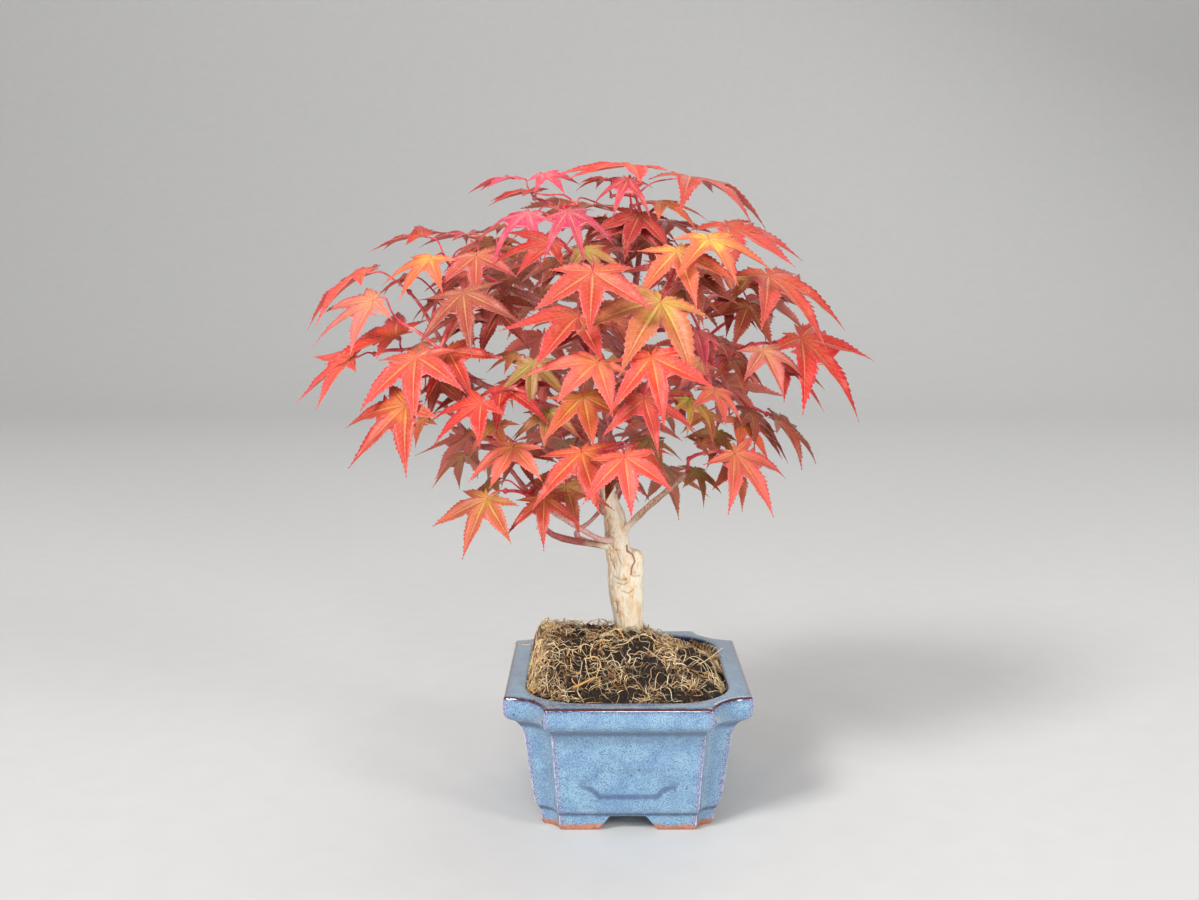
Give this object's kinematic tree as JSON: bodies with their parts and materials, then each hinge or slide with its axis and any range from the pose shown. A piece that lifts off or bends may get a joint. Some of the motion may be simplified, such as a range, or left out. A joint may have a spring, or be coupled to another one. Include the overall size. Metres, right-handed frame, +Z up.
{
  "type": "deshojo japanese maple bonsai",
  "caption": "Small red-leaved Japanese maple with a straight trunk and a domed crown, on a root-matted soil mound in a blue glazed rectangular pot with notched corners.",
  "frame": {"origin": "on the surface that the pot stands on, under the middle of the whole piece's bounding box", "axes": "+Z up along the trunk, -Y towards the tree's front, which is a short side of the pot, and +X to the right as seen from the front"},
  "size_m": [0.2854, 0.2122, 0.3212],
  "materials": {
    "glaze": "gloss",
    "plastic": "matte",
    "soil": "matte",
    "bark": "matte",
    "leaf": "satin"
  },
  "bodies": {
    "root": {"pot": "glaze", "drainage_mesh_front": "plastic", "drainage_mesh_back": "plastic", "soil": "soil", "trunk": "bark", "spray_left_high": "leaf", "spray_left_low": "leaf", "spray_left_front": "leaf", "spray_far_left_front": "leaf", "spray_left_under": "leaf", "spray_left_inner": "leaf", "spray_top_left": "leaf", "spray_top_front": "leaf", "spray_far_top_front": "leaf", "spray_top": "leaf", "spray_right_high": "leaf", "spray_right_front": "leaf", "spray_far_right_front": "leaf", "spray_front_high": "leaf", "spray_far_front_high": "leaf", "spray_right": "leaf", "spray_right_low": "leaf", "spray_low_right": "leaf", "spray_far_low_right": "leaf", "spray_front": "leaf", "spray_far_front": "leaf", "spray_front_left": "leaf", "spray_far_front_left": "leaf", "spray_low_left": "leaf", "spray_far_low_left": "leaf", "spray_left_middle": "leaf", "spray_far_left_middle": "leaf", "spray_low_front": "leaf", "spray_far_low_front": "leaf"}
  },
  "joints": []
}
